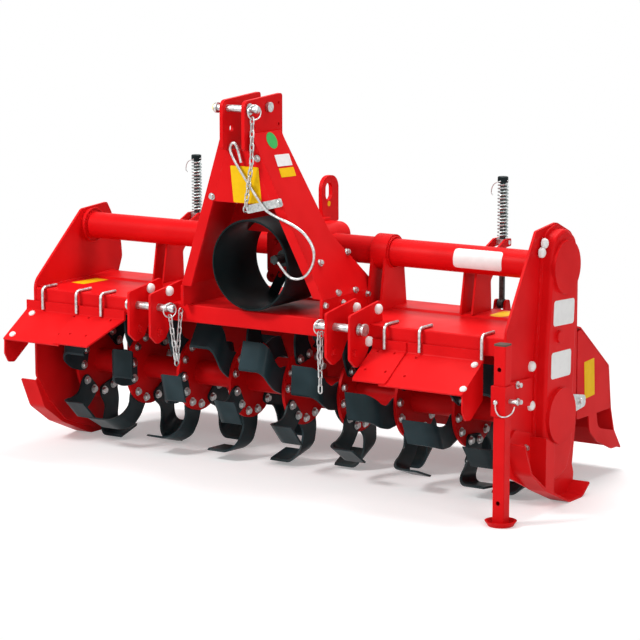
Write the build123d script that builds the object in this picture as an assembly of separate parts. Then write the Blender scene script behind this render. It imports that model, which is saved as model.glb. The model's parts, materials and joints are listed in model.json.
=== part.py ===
from build123d import *
from math import atan2, cos, degrees, hypot, radians, sin, tan
import os

os.makedirs("parts", exist_ok=True)

# Tractor-mounted rotary tiller, millimetres.
# +X is the machine's left-to-right as seen from the tractor side, -Y is the tractor side, +Z is up.
# Everything is drawn from the rotor's axis and the middle of the machine, and moved to the
# floor and the middle of the outline when it is written.

# Clearance of pieces that are bolted face to face
seat_gap = 0.3

# Rotor
flange_count = 9
flange_pitch = 243
flange_radius = 147.5
flange_thick = 12
rotor_tube_radius = 46
tine_radius = 300
tine_floor_gap = 8
tine_thick = 8
tine_lag = 118
tine_width = 106
tine_reach = 118
tine_bend = 45
tine_root_radius = 119
tine_bolt_spread = 30
tine_bolt_radius = 8
tines_per_flange = 6
first_tine_angle = 76
helix_step = 14
end_space = 58
bearing_gap = 2
stub_radius = 30
hub_radius = 62
hub_length = 30
shaft_fit = 0.05
bearing_cap_radius = 70
bearing_cap_depth = 22

# Side plates and skids
side_thick = 10
side_front = 322
side_rear = 226
runner_width = 74
runner_thick = 8
skid_web_thick = 8
cover_gap = 2
cover_depth = 46
cover_flange = 14
cover_flange_thick = 8
catch_thick = 6
plate_inner = (flange_count - 1) / 2 * flange_pitch + end_space
plate_outer = plate_inner + side_thick

# Deck
deck_thick = 6
deck_height = 325
channel_drop = 67
deck_step_y = 5
deck_step = 7
deck_rear = 176
sheet_bend = 10

# Cross tube and gearbox
tube_radius = 50.8
tube_wall = 8
tube_y = 25
tube_z = deck_height + 207
gearbox_half = 118
gearbox_front = 85
gearbox_depth = 225
gearbox_lug_radius = 24
neck_radius = 62
neck_length = 40
gearbox_top = deck_height + 288
gearbox_height = 210

# Mast and top hitch
mast_foot_x = 300
mast_foot_z = deck_height + 75
mast_height = 585
mast_top_x = 54
mast_top_z = mast_foot_z + mast_height
mast_thick = 10
mast_flange = 42
mast_foot_front = 354
mast_top_front = 442
clamp_width = 66
ear_gap = 80
ear_thick = 14
ear_front = 468
ear_rear = 228
ear_height = 187
ear_bottom = mast_top_z - 60
ear_top = ear_bottom + ear_height
top_pin_radius = 12.5
top_pin_y = 30 - ear_front
top_pin_z = ear_top - 39
top_bolt_y = -ear_rear - 94
spare_hole_y = top_pin_y + 26
spare_hole_z = top_pin_z - 73
pin_fit = 0.05

# Input shaft and its guard
input_radius = 17.4
input_length = 120
collar_radius = 31.4
shield_radius = 165
shield_clear = 10
shield_wall = 5
shield_front = 362
shield_tab = 6
shield_length = shield_front - gearbox_front - seat_gap
input_z = deck_height + shield_radius + shield_clear

# Lower hitch
hitch_x = 435
hitch_gap = 88
cheek_thick = 10
cheek_front = 452
lower_pin_y = 50 - cheek_front
lower_pin_z = deck_height - 7
lower_pin_radius = 14
lower_pin_inner = 60
lower_pin_outer = 24

# Front guards
guard_z = deck_height - channel_drop - 22
guard_slope = 33
guard_depth = 148
guard_thick = 6
guard_bend = 16
guard_overlap = 30
guard_rod_radius = 6

# Tailboard
tail_side_gap = 8
tail_half = plate_inner - tail_side_gap
tail_thick = 6
tail_hinge_y = deck_rear + 27
tail_hinge_z = deck_height - 25
tail_pin_radius = 9
tail_knuckle_radius = 16
tail_eye_z = tail_hinge_z + 36
tail_eye_pin = 6
lug_gap = 34

# Tailboard springs
spring_x = 690
rod_y = tail_hinge_y + 67
rod_radius = 11
trunnion_z = tube_z + 33
rod_top = trunnion_z + 239
spring_radius = 21
spring_wire = 3.5
strut_y = 67

# Parking stand
stand_y = -405
stand_side = 45
stand_wall = 4
stand_top = 313
stand_foot_radius = 56
stand_foot_flare = 12
stand_foot_height = 18
stand_foot_wall = 5
sleeve_height = 105
sleeve_top = 181
sleeve_bottom = sleeve_top - sleeve_height
sleeve_wall = 5
sleeve_fit = 0.8
sleeve_outer = stand_side + 2 * (sleeve_fit + sleeve_wall)
stand_x = plate_outer + 3.7 + sleeve_outer / 2
guard_left_outer = plate_outer + 32
guard_left_inner = 588
guard_right_inner = 506
guard_right_outer = stand_x - sleeve_outer / 2 - 90

# Worked out from the sizes above
floor_z = -(tine_radius + tine_floor_gap)
rotor_half = (flange_count - 1) / 2 * flange_pitch
lean = degrees(atan2(mast_foot_x - mast_top_x, mast_top_z - mast_foot_z))
middle_y = 70
PLACE = Pos(0, -middle_y, -floor_z)


def write(name, part):
    """Puts a piece in the stored frame and writes it."""
    solid = PLACE * part
    export_step(solid, f"parts/{name}.step")


def corner_radii(points, radius, closed):
    """One radius for each corner, no larger than the straight runs beside it allow."""
    count = len(points)
    corners = range(count) if closed else range(1, count - 1)
    radii = radius if isinstance(radius, (list, tuple)) else [radius] * len(corners)
    out = []
    for i, wanted in zip(corners, radii):
        here = Vector(*points[i])
        before = here - Vector(*points[i - 1])
        after = Vector(*points[(i + 1) % count]) - here
        turn = radians(before.get_angle(after))
        room = 0.48 * min(before.length, after.length) / max(tan(turn / 2), 1e-6)
        out.append(max(min(wanted, room), 0.01))
    return out


def outline(points, radius=0):
    """A flat face through the points, with one corner radius or one for each corner."""
    if radius == 0:
        return make_face(Polyline(*points, close=True))
    return make_face(FilletPolyline(*points, radius=corner_radii(points, radius, True), close=True))


def wall(path, thick):
    """The section of a sheet that lies left of a path, or right of it where thick is negative."""
    side = Side.LEFT if thick > 0 else Side.RIGHT
    return make_face(offset(path, amount=abs(thick), side=side))


def plate(face, x, thick):
    """An outline in Y and Z, made solid from x towards +X."""
    return Pos(x, 0, 0) * extrude(Plane.YZ * face, amount=thick)


def folded(points, thick, x, width, bend=sheet_bend):
    """A folded sheet: its section in Y and Z, carried along X.

    The wall lies left of the path, or right of it where thick is negative.
    """
    path = FilletPolyline(*points, radius=corner_radii(points, bend, False))
    return plate(wall(path, thick), x, width)


def hole_x(y, z, radius, x=0, length=4000):
    """A cutter along X."""
    return Pos(x, y, z) * Rot(0, 90, 0) * Cylinder(radius, length)


def rod(points, radius, bend):
    """A bent round bar."""
    path = FilletPolyline(*points, radius=corner_radii(points, bend, False)) if len(points) > 2 else Line(*points)
    return sweep(Plane(origin=path @ 0, z_dir=path % 0) * Circle(radius), path=path)


def bar_x(y, z, radius, x0, x1):
    """A round bar along X."""
    return Pos((x0 + x1) / 2, y, z) * Rot(0, 90, 0) * Cylinder(radius, x1 - x0)


def bar_y(x, z, radius, y0, y1):
    """A round bar along Y."""
    return Pos(x, (y0 + y1) / 2, z) * Rot(90, 0, 0) * Cylinder(radius, y1 - y0)


# Frame: deck, side plates, skids
def deck():
    """Hood over the rotor: a front channel, a stepped top and a turned-down rear edge."""
    front = -side_front + 2
    section = [
        (front + 34, deck_height - channel_drop),
        (front, deck_height - channel_drop),
        (front, deck_height),
        (deck_step_y, deck_height),
        (deck_step_y + 14, deck_height + deck_step),
        (deck_rear, deck_height + deck_step),
        (deck_rear + 8, deck_height - 26),
    ]
    return folded(section, -deck_thick, -plate_inner, 2 * plate_inner, 6)


def side_outline_left():
    points = [
        (-side_front, -20), (-side_front, deck_height + 23), (-29, tube_z + 68), (131, tube_z + 79),
        (156, tube_z + 41), (side_rear - 7, deck_height + 120), (side_rear, deck_height + 58),
        (side_rear - 28, deck_height - 7), (side_rear - 28, -60), (168, -255),
        (40, -292), (-150, -222), (-248, -128),
    ]
    return outline(points, [30, 60, 30, 12, 40, 60, 40, 30, 60, 40, 60, 60, 40])


def side_outline_right():
    points = [
        (-side_front + 14, -160), (-side_front, deck_height + 23), (-118, tube_z + 142), (30, tube_z + 158),
        (150, tube_z + 108), (side_rear - 28, tube_z - 32), (side_rear - 28, -60), (168, -255),
        (40, -292), (-150, -232),
    ]
    return outline(points, [20, 60, 16, 50, 60, 60, 60, 40, 60, 40])


def side_plate(face, x):
    body = plate(face, x, side_thick)
    return body - hole_x(0, 0, stub_radius + bearing_gap, x, 60)


RUNNER = [(-312, -40), (-262, -150), (-150, -228), (20, floor_z + runner_thick),
          (118, floor_z + runner_thick), (170, floor_z + 46)]
runner_bend = 42


def runner(sign):
    """Curved sole that the machine slides and stands on."""
    x = plate_outer if sign > 0 else -plate_outer - runner_width
    return folded(RUNNER, -runner_thick, x, runner_width, runner_bend)


def skid(sign):
    """Sole, and the web that bolts it to the side plate; the right one has a channel clear of the cover."""
    top = [(172, -235), (130, -120), (-60, -60), (-268, 0)]
    web = plate(outline(RUNNER + top, [1] + [runner_bend] * 4 + [1, 12, 40, 60, 30]),
                plate_outer if sign > 0 else -plate_outer - skid_web_thick, skid_web_thick)
    if sign < 0:
        return runner(sign) + web
    web -= plate(cover_face(cover_flange + cover_gap), plate_outer - 1, 100)
    inner = plate_outer + skid_web_thick / 2
    outer = plate_outer + runner_width - 2
    front = outline([(-158, -45), (-158, -230), (-150, -230), (-150, -45)])
    side = outline([(-158, -45), (-158, -230), (-95, -255), (-95, -75)], [4, 1, 1, 16])
    channel = plate(front, inner, outer - inner) + plate(side, outer - skid_web_thick, skid_web_thick)
    return runner(sign) + web + channel


def tail_catch():
    """Plate on the right side plate's rear edge that the tailboard is pinned to when it is raised."""
    face = outline([(125, 60), (262, 34), (262, -6), (125, -20)], [14, 18, 18, 14]) - Pos(240, 14) * Circle(9)
    return plate(face, plate_outer + seat_gap, catch_thick)


# Cross tube and gearbox
def cross_tube(sign):
    x0, x1 = sorted((sign * gearbox_half, sign * plate_inner))
    tube = bar_x(tube_y, tube_z, tube_radius, x0, x1)
    bore = bar_x(tube_y, tube_z, tube_radius - tube_wall, x0, x1)
    collar_x0, collar_x1 = sorted((sign * (plate_inner - 16), sign * plate_inner))
    collar = bar_x(tube_y, tube_z, tube_radius + 14, collar_x0, collar_x1)
    return tube + collar - bore


def gearbox():
    """Bevel gear housing with its input neck towards the tractor and two lugs at its lower corners."""
    body = Pos(0, gearbox_depth / 2 - gearbox_front, gearbox_top - gearbox_height / 2) \
        * Box(2 * gearbox_half, gearbox_depth, gearbox_height)
    body = fillet(body.edges().filter_by(Axis.Y), 46)
    body = fillet(body.edges().group_by(Axis.Y)[0] + body.edges().group_by(Axis.Y)[-1], 12)
    body += bar_y(0, input_z, neck_radius, -gearbox_front - neck_length, 10 - gearbox_front)
    for x in (26 - gearbox_half, gearbox_half - 26):
        z = gearbox_top - gearbox_height + 15
        body += bar_y(x, z, gearbox_lug_radius, -gearbox_front, 50 - gearbox_front)
        body -= bar_y(x, z, 9, -gearbox_front - 1, 51 - gearbox_front)
    return body - bar_y(0, input_z, collar_radius + shaft_fit, -gearbox_front - neck_length - 5, 27 - gearbox_front)


def input_shaft():
    """Splined stub with its collar."""
    collar_front = -gearbox_front - neck_length - 15
    tip = -gearbox_front - input_length
    spline = bar_y(0, input_z, input_radius, tip, collar_front + 5)
    for i in range(6):
        groove = Pos(0, tip + 25, input_z) * Rot(0, 60 * i, 0) * Pos(input_radius, 0, 0) * Box(5, 70, 8)
        spline -= groove
    return spline + bar_y(0, input_z, collar_radius, collar_front, 25 - gearbox_front)


def shield():
    """Drum round the input shaft, bolted by four tabs to the gearbox's front face."""
    front = -shield_front
    back = front + shield_length
    tube = bar_y(0, input_z, shield_radius, front, back)
    bore = bar_y(0, input_z, shield_radius - shield_wall, front - 1, back + 1)
    bead = Pos(0, front + 4, input_z) * Rot(90, 0, 0) * Torus(shield_radius - 2, 4)
    part = tube + bead - bore
    reach = shield_radius - shield_wall / 2
    for angle in (60, 120, 240, 300):
        tab = Pos((80 + reach) / 2, back - shield_tab / 2, 0) * Box(reach - 80, shield_tab, 40)
        part += Pos(0, 0, input_z) * Rot(0, angle, 0) * tab
    return part


def cover_face(grow=0):
    """Outline of the side gear cover, broad over the upper gear and under the lower one."""
    face = outline([(-80, tube_z + 60), (-52, tube_z + 122), (20, tube_z + 142), (92, tube_z + 104),
                    (120, tube_z + 10), (104, 300), (92, 100), (88, -120), (50, -200), (-40, -225),
                    (-108, -190), (-122, -60), (-114, 220), (-92, 430)],
                   [60, 50, 60, 60, 60, 300, 300, 60, 60, 60, 60, 200, 400, 400])
    return offset(face, amount=grow) if grow else face


def side_drive_cover():
    """Gear cover on the right side plate, with the flange it is bolted by."""
    body = plate(cover_face(), plate_outer, cover_depth)
    body = fillet(body.edges().group_by(Axis.X)[-1], 12)
    body += plate(cover_face(cover_flange), plate_outer, cover_flange_thick)
    front = plate_outer + cover_depth
    upper = bar_x(12, tube_z + 6, 95, front - 14, front + 12)
    lower = bar_x(-15, 10, 100, front - 14, front + 14)
    plug = bar_x(-28, 295, 22, front - 14, front + 10)
    return body + upper + lower + plug


def lifting_eye():
    top = gearbox_top
    rear = gearbox_depth - gearbox_front + 2
    face = outline([(112, top), (105, top + 60), (105, top + 165), (219, top + 165), (219, top + 60),
                    (220, top - 12), (rear, top - 12), (rear, top)], [1, 20, 56, 56, 20, 8, 1, 1])
    face -= Pos(152, top + 106) * SlotOverall(68, 45, rotation=90)
    foot = Pos(0, 110, top + 6) * Box(60, 50, 12)
    return plate(face, -8, 16) + foot


# Mast
mast_rise = mast_top_z - mast_foot_z
mast_slope = hypot(mast_rise, mast_foot_front - mast_top_front)
MAST_FRONT = Plane(origin=(0, -mast_foot_front, mast_foot_z), x_dir=(1, 0, 0),
                   z_dir=(0, -mast_rise, mast_foot_front - mast_top_front))


def mast_edge(z):
    """X of the mast cheek's outer face at a height."""
    return mast_foot_x + mast_thick / cos(radians(lean)) - (z - mast_foot_z) * tan(radians(lean))


def front_point(x, z):
    """A point of the mast's front plane, from its X and height."""
    return (x, (z - mast_foot_z) * mast_slope / mast_rise)


def mast_plate(sign):
    """Leaning side of the mast: a tapered cheek with its front edge turned inwards."""
    height = hypot(mast_foot_x - mast_top_x, mast_rise)
    face = outline([(-600, -60), (-600, height + 60), (-250, height + 60), (-250, height - 30),
                    (-168, 0.36 * height), (-18, 40), (-18, -60)], [1, 1, 1, 60, 120, 30, 1])
    cheek = extrude(Plane.YZ * face, amount=mast_thick)
    cheek = Pos(mast_foot_x, 0, mast_foot_z) * Rot(0, -lean, 0) * cheek
    cheek -= MAST_FRONT * Pos(0, 0, 500) * Box(4000, 4000, 1000)
    low, high = mast_foot_z, mast_top_z
    strip = [front_point(mast_edge(low), low), front_point(mast_edge(high), high),
             front_point(mast_edge(high) - mast_flange, high), front_point(mast_edge(low) - mast_flange, low)]
    part = cheek + MAST_FRONT * extrude(outline(strip), amount=-mast_thick)
    part -= Pos(0, 0, mast_foot_z - 500) * Box(4000, 4000, 1000)
    part -= Pos(0, 0, mast_top_z + 500) * Box(4000, 4000, 1000)
    ear_face = ear_gap / 2 + ear_thick
    part -= Pos(ear_face - 500, 0, ear_bottom + 500) * Box(1000, 4000, 1000)
    return part if sign > 0 else mirror(part, Plane.YZ)


def mast_foot(sign):
    """Upright plate that carries the mast, with the clamp that holds the cross tube."""
    deck_top = deck_height + deck_step
    face = outline([(-mast_foot_front - 4, deck_height), (-mast_foot_front - 4, mast_foot_z), (-14, mast_foot_z),
                    (-14, mast_foot_z + 50), (tube_y + 50, mast_foot_z + 60), (tube_y + 90, deck_top),
                    (deck_step_y + 14, deck_top), (deck_step_y, deck_height)], [3, 3, 1, 20, 30, 2, 6, 6])
    body = plate(face, mast_foot_x, 12)
    x0 = mast_foot_x + 12
    clamp = bar_x(tube_y, tube_z, tube_radius + 15, x0, x0 + clamp_width)
    web = outline([(tube_y - 95, deck_top), (tube_y - 60, tube_z), (tube_y + 60, tube_z), (tube_y + 85, deck_top),
                   (deck_step_y + 14, deck_top), (deck_step_y, deck_height), (tube_y - 95, deck_height)],
                  [1, 20, 20, 1, 6, 6, 1])
    for x in (x0, x0 + clamp_width - 10):
        clamp += plate(web, x, 10)
    part = body + clamp - bar_x(tube_y, tube_z, tube_radius, 0, 800)
    return part if sign > 0 else mirror(part, Plane.YZ)


def mast_front():
    """Sheet between the mast's legs."""
    low, high = ear_bottom - 195, ear_bottom
    inset = mast_flange
    points = [front_point(-mast_edge(low) + inset, low), front_point(-mast_edge(high) + inset, high),
              front_point(mast_edge(high) - inset, high), front_point(mast_edge(low) - inset, low)]
    return MAST_FRONT * extrude(outline(points), amount=-8)


def ear(sign):
    """One of the two upright ears that hold the top link."""
    face = outline([(-ear_front, ear_bottom), (-ear_front, ear_top - 10), (ear_rear * -1, ear_top + 6),
                    (-ear_rear, ear_bottom + 20)], [12, 26, 12, 12])
    x = ear_gap / 2 if sign > 0 else -ear_gap / 2 - ear_thick
    body = plate(face, x, ear_thick)
    body -= hole_x(top_pin_y, top_pin_z, top_pin_radius + pin_fit)
    body -= hole_x(top_bolt_y, top_pin_z, top_pin_radius + pin_fit)
    body -= hole_x(spare_hole_y, spare_hole_z, top_pin_radius + 0.5)
    for z in (ear_top - 104, ear_top - 29):
        body -= hole_x(-ear_rear - 24, z, 6)
    return body


def top_pin():
    reach = ear_gap / 2 + ear_thick
    body = bar_x(top_pin_y, top_pin_z, top_pin_radius, -reach - 26, reach + 30)
    head = bar_x(top_pin_y, top_pin_z, 19, -reach - 34, -reach - 26)
    return body + head


def top_bolt():
    reach = ear_gap / 2 + ear_thick
    body = bar_x(top_bolt_y, top_pin_z, top_pin_radius, -reach - 12, reach + 12)
    return body + bar_x(top_bolt_y, top_pin_z, 18, -reach - 14, -reach - 2) \
        + bar_x(top_bolt_y, top_pin_z, 18, reach + 2, reach + 14)


# Lower hitch
def cheek(x):
    """One hitch cheek, notched over the deck's front channel."""
    fold = deck_height - channel_drop
    face = outline([(-cheek_front, fold - 44), (-cheek_front, deck_height + 47), (-250, deck_height + 77),
                    (-236, deck_height), (-side_front + 2, deck_height), (-side_front + 2, fold),
                    (92 - cheek_front, fold - 62), (42 - cheek_front, fold - 78)],
                   [14, 10, 12, 4, 1, 1, 20, 18])
    return plate(face, x - cheek_thick / 2, cheek_thick) \
        - hole_x(lower_pin_y, lower_pin_z, lower_pin_radius + pin_fit)


def lower_pin(sign):
    inner = hitch_x - hitch_gap / 2 - cheek_thick - lower_pin_inner
    outer = hitch_x + hitch_gap / 2 + cheek_thick + lower_pin_outer
    x0, x1 = sorted((sign * inner, sign * outer))
    h0, h1 = sorted((sign * outer, sign * (outer + 8)))
    return bar_x(lower_pin_y, lower_pin_z, lower_pin_radius, x0, x1) \
        + bar_x(lower_pin_y, lower_pin_z, 22, h0, h1)


# Front guards
def guard_panel(x0, x1, lift, radii, skew=0):
    """Sloping sheet with an upright edge against the deck's front, cut to its outline seen from above.

    A lifted panel lies on the face of the one beside it, spaced off the deck by bushes.
    """
    slope = radians(guard_slope)
    back = -side_front - seat_gap
    y = back - lift
    z = guard_z + lift * (1 / cos(slope) - tan(slope))
    section = [(y, guard_z + 40), (y, z), (back - guard_depth, guard_z + lift / cos(slope) - guard_depth * tan(slope))]
    sheet = folded(section, -guard_thick, -1200, 2400, guard_bend - lift)
    front = back - guard_depth - 12
    plan = outline([(x0, back), (x0 + skew, front), (x1, front), (x1, back)], radii)
    sheet &= Pos(0, 0, -400) * extrude(plan, amount=1000)
    if lift:
        for x in (x0 + 0.25 * (x1 - x0), x0 + 0.7 * (x1 - x0)):
            sheet += bar_y(x, guard_z + 26, 12, y - 1, back)
    return sheet


def guard_lip(x):
    """Side wall that hangs from the guard's outer edge."""
    back = -side_front - seat_gap
    y = back - guard_thick
    tip = y - guard_depth + 10

    def under(at):
        return guard_z - (back - at) * tan(radians(guard_slope)) + 1

    face = outline([(y - 2, under(y - 2)), (tip, under(tip)), (y - 140, guard_z - 150),
                    (y - 118, guard_z - 186), (y - 85, guard_z - 190), (y, guard_z - 132)],
                   [2, 4, 12, 14, 14, 4])
    return plate(face, x, guard_thick)


def guard_holes(places):
    """Cutters for a guard's spare bolt holes, along Z."""
    return Compound([Pos(x, y, guard_z - 50) * Cylinder(5, 200) for x, y in places])


def guard_left():
    outer = -guard_left_outer
    joint = -830
    part = guard_panel(outer, joint + guard_overlap, 0, [1, 16, 22, 1]) + guard_lip(outer)
    part += guard_panel(-guard_left_inner, joint, guard_thick, [1, 20, 22, 1], -85)
    return part - guard_holes([(-824, -344), (-755, -344), (-650, -344), (-836, -424), (-782, -424), (-706, -424)])


def guard_right():
    outer = guard_right_outer
    joint = 645
    part = guard_panel(joint - guard_overlap, outer, 0, [1, 22, 22, 1]) + guard_lip(outer - guard_thick)
    part += guard_panel(guard_right_inner, joint, guard_thick, [1, 26, 22, 1])
    return part - guard_holes([(535, -344), (605, -344), (694, -344), (535, -424), (617, -424), (695, -424)])


def guard_rods(places):
    """Bent rods from the deck's front edge down to the guard, each given by its X and its panel's lift."""
    top = deck_height + guard_rod_radius
    rods = []
    for x, lift in places:
        y = -side_front - seat_gap - lift - guard_thick - guard_rod_radius
        rods.append(rod([(x, -250, top), (x, y, top), (x, y, guard_z + 10)], guard_rod_radius, 18))
    return Compound(rods)


# Tailboard
def tailboard():
    y, z = tail_hinge_y, tail_hinge_z
    section = [(y + 18, z - 8), (y + 59, z - 19), (y + 289, z - 195), (y + 313, z - 360),
               (y + 342, z - 450), (y + 397, z - 522)]
    sheet = folded(section, -tail_thick, -tail_half, 2 * tail_half, 14)
    end = outline([(y + 37, z - 34), (y + 59, z - 28), (y + 283, z - 199), (y + 305, z - 360), (y + 37, z - 358)],
                  [6, 20, 20, 10, 10])
    arm = outline([(y + 128, z - 340), (y + 142, z - 420), (y + 197, z - 465), (y + 321, z - 517),
                   (y + 387, z - 519), (y + 340, z - 450), (y + 207, z - 418), (y + 192, z - 340)],
                  [4, 40, 40, 12, 6, 20, 40, 4])
    part = sheet
    for x in (-tail_half, tail_half - tail_thick):
        part += plate(end, x, tail_thick) + plate(arm, x, tail_thick)
    for x in knuckles():
        part += bar_x(tail_hinge_y, tail_hinge_z, tail_knuckle_radius, x, x + 60)
        web = outline([(y, z + 4), (y + 37, z - 4), (y + 37, z - 16), (y, z - 12)])
        part += plate(web, x, 60)
        part -= bar_x(tail_hinge_y, tail_hinge_z, tail_pin_radius + pin_fit, x - 1, x + 61)
    for sign in (-1, 1):
        x = sign * spring_x
        lug = outline([(y + 37, z - 16), (rod_y - 14, tail_eye_z + 16), (rod_y + 14, tail_eye_z + 16),
                       (y + 113, z - 62)], [2, 12, 12, 2])
        for side in (-lug_gap / 2 - 8, lug_gap / 2):
            part += plate(lug, x + side, 8)
        part += bar_x(rod_y, tail_eye_z, tail_eye_pin, x - lug_gap / 2 - 8, x + lug_gap / 2 + 8)
    return part


def knuckles():
    return [-900, -330, 270, 840]


def hinge_pins():
    """Hinge pins and the lugs that carry them on the deck's rear edge."""
    pins = []
    for x in knuckles():
        pin = bar_x(tail_hinge_y, tail_hinge_z, tail_pin_radius, x - 14, x + 74)
        lug = outline([(deck_rear + 3.2, deck_height - 5), (tail_hinge_y, tail_hinge_z + 14),
                       (tail_hinge_y + 14, tail_hinge_z), (tail_hinge_y, tail_hinge_z - 14),
                       (deck_rear + 8.3, deck_height - 26)], [1, 8, 8, 8, 1])
        for side in (-10, 62):
            pin += plate(lug, x + side, 8)
        pins.append(pin)
    return Compound(pins)


# Tailboard springs
def strut(sign):
    """Gusset from deck to tube, with the arm that holds the spring rod's trunnion."""
    gusset = outline([(strut_y - 60, deck_height + deck_step), (strut_y - 30, tube_z - 40), (tube_y, tube_z - 52),
                      (tube_y + 40, tube_z - 30), (rod_y - 24, trunnion_z + 14), (rod_y + 16, trunnion_z + 14),
                      (rod_y + 16, trunnion_z - 14), (rod_y - 24, trunnion_z - 16), (strut_y + 70, tube_z - 90),
                      (strut_y + 76, deck_height + deck_step)], [2, 10, 4, 4, 10, 6, 6, 20, 20, 2])
    part = Part()
    for side in (-28, 20):
        part += plate(gusset, sign * spring_x + side, 8)
    part -= bar_x(tube_y, tube_z, tube_radius, sign * spring_x - 60, sign * spring_x + 60)
    part -= hole_x(rod_y, trunnion_z, 8 + pin_fit)
    return part


def trunnion(sign):
    """Cross block that swivels in the strut and lets the rod slide."""
    x = sign * spring_x
    block = Pos(x, rod_y, trunnion_z) * Box(38, 30, 24)
    part = block + bar_x(rod_y, trunnion_z, 8, x - 30, x + 30)
    return part - Pos(x, rod_y, trunnion_z) * Cylinder(rod_radius + 0.5, 60)


def spring_rod(sign):
    x = sign * spring_x
    bottom = tail_eye_z + 14
    shaft = Pos(x, rod_y, (rod_top + bottom) / 2) * Cylinder(rod_radius, rod_top - bottom)
    cap = Pos(x, rod_y, rod_top - 10) * Cylinder(19, 20)
    seat = Pos(x, rod_y, trunnion_z - 108) * Cylinder(20, 6)
    eye = bar_x(rod_y, tail_eye_z, 18, x - 11, x + 11)
    return shaft + cap + seat + eye - bar_x(rod_y, tail_eye_z, 12, x - 12, x + 12)


def spring(sign, low, high, turns):
    """Coil spring round the rod."""
    x = sign * spring_x
    pitch = (high - low - 2 * spring_wire) / turns
    path = Pos(x, rod_y, low + spring_wire) * Helix(pitch=pitch, height=pitch * turns, radius=spring_radius - spring_wire)
    section = Plane(origin=path @ 0, z_dir=path % 0) * RegularPolygon(spring_wire, 6)
    return sweep(section, path=path)


# Parking stand
def sleeve():
    inner = stand_side + 2 * sleeve_fit
    outer = sleeve_outer
    z = (sleeve_bottom + sleeve_top) / 2
    body = Pos(stand_x, stand_y, z) * (Box(outer, outer, sleeve_height) - Box(inner, inner, sleeve_height))
    arm = outline([(stand_y + outer / 2, sleeve_top - 6), (-150, sleeve_top - 16), (-150, sleeve_bottom - 10),
                   (stand_y + outer / 2, sleeve_bottom + 6)], [1, 12, 12, 1])
    body += plate(arm, plate_outer, 10)
    return body - hole_x(stand_y, z, 8, stand_x, outer + 10)


def stand_leg():
    low = floor_z + stand_foot_wall
    z = (stand_top + low) / 2
    inner = stand_side - 2 * stand_wall
    leg = Pos(stand_x, stand_y, z) * Box(stand_side, stand_side, stand_top - low)
    leg = fillet(leg.edges().filter_by(Axis.Z), 5)
    leg -= Pos(stand_x, stand_y, z) * Box(inner, inner, stand_top - low)
    for hole_z in (stand_top - 75, floor_z + 81):
        leg -= bar_y(stand_x, hole_z, 8, stand_y - 50, stand_y + 50)
    cap = Pos(stand_x, stand_y, stand_top + 3) * Box(stand_side, stand_side, 6)
    foot = Cone(stand_foot_radius - stand_foot_flare, stand_foot_radius, stand_foot_height)
    hollow = Cone(stand_foot_radius - stand_foot_flare - stand_foot_wall, stand_foot_radius - stand_foot_wall,
                  stand_foot_height)
    foot -= Pos(0, 0, stand_foot_wall) * hollow
    foot = Pos(stand_x, stand_y, floor_z + stand_foot_height / 2) * foot
    return leg + cap + foot - hole_x(stand_y, (sleeve_bottom + sleeve_top) / 2, 8, stand_x, 80)


def stand_pin():
    z = (sleeve_bottom + sleeve_top) / 2
    half = stand_side / 2 + sleeve_fit
    return bar_x(stand_y, z, 8 - pin_fit, stand_x + half - 0.3, stand_x + half + sleeve_wall + 30)


# Rotor
def rotor_shaft():
    """Tube with its flanges and the stubs that run in the side bearings."""
    part = bar_x(0, 0, rotor_tube_radius, -rotor_half - 20, rotor_half + 20)
    stub = plate_inner + 4
    part += bar_x(0, 0, stub_radius, -stub, stub)
    for i in range(flange_count):
        x = i * flange_pitch - rotor_half
        part += bar_x(0, 0, flange_radius, x - flange_thick / 2, x + flange_thick / 2)
    return part


def bearing(sign):
    """Bearing housing inside the side plate."""
    x0, x1 = sorted((sign * (plate_inner - hub_length), sign * plate_inner))
    return bar_x(0, 0, hub_radius, x0, x1) - bar_x(0, 0, stub_radius + shaft_fit, x0 - 1, x1 + 1)


def bearing_cap():
    """Cap over the left bearing, on the outside of its side plate."""
    x = plate_outer + seat_gap
    body = bar_x(0, 0, bearing_cap_radius, -x - bearing_cap_depth, -x)
    body = fillet(body.edges().group_by(Axis.X)[0], 8)
    return body - bar_x(0, 0, stub_radius + bearing_gap, -x - 8, 1 - x)


def tine():
    """Bent hoe, drawn for a flange face at x = 0, reaching towards +X.

    An L section in X and radius is cut to the curved side outline of the blade, whose tip trails.
    """
    root = tine_root_radius - 22
    top = (tine_radius ** 2 - tine_lag ** 2) ** 0.5
    path = FilletPolyline((0, root), (0, top), (tine_reach, top), radius=tine_bend)
    bent = extrude(Plane.XZ * wall(path, -tine_thick), amount=220, both=True)
    side = outline([(50, root), (50, 140), (34, 180), (58, 222), (tine_lag, top + 4),
                    (tine_lag - tine_width, top + 4), (-28, 238), (-50, 190), (-54, 140), (-50, root)],
                   [20, 30, 50, 60, 4, 6, 80, 90, 40, 20])
    blank = Pos(-50, 0, 0) * extrude(Plane.YZ * side, amount=220)
    part = bent & blank
    for y in (-tine_bolt_spread, tine_bolt_spread):
        part -= Pos(0, y, tine_root_radius) * Rot(0, 90, 0) * Cylinder(tine_bolt_radius, 40)
    return part


def tine_star(i, right, left):
    """The tines of one flange, alternately on its two faces."""
    x = i * flange_pitch - rotor_half
    out = []
    for k in range(tines_per_flange):
        angle = first_tine_angle + i * helix_step + 360 / tines_per_flange * k
        to_right = (k % 2 == 0 or i == 0) and i != flange_count - 1
        blade = right if to_right else left
        face = flange_thick / 2 if to_right else -flange_thick / 2
        out.append(Pos(x + face, 0, 0) * Rot(angle, 0, 0) * blade)
    return Compound(out)


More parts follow.
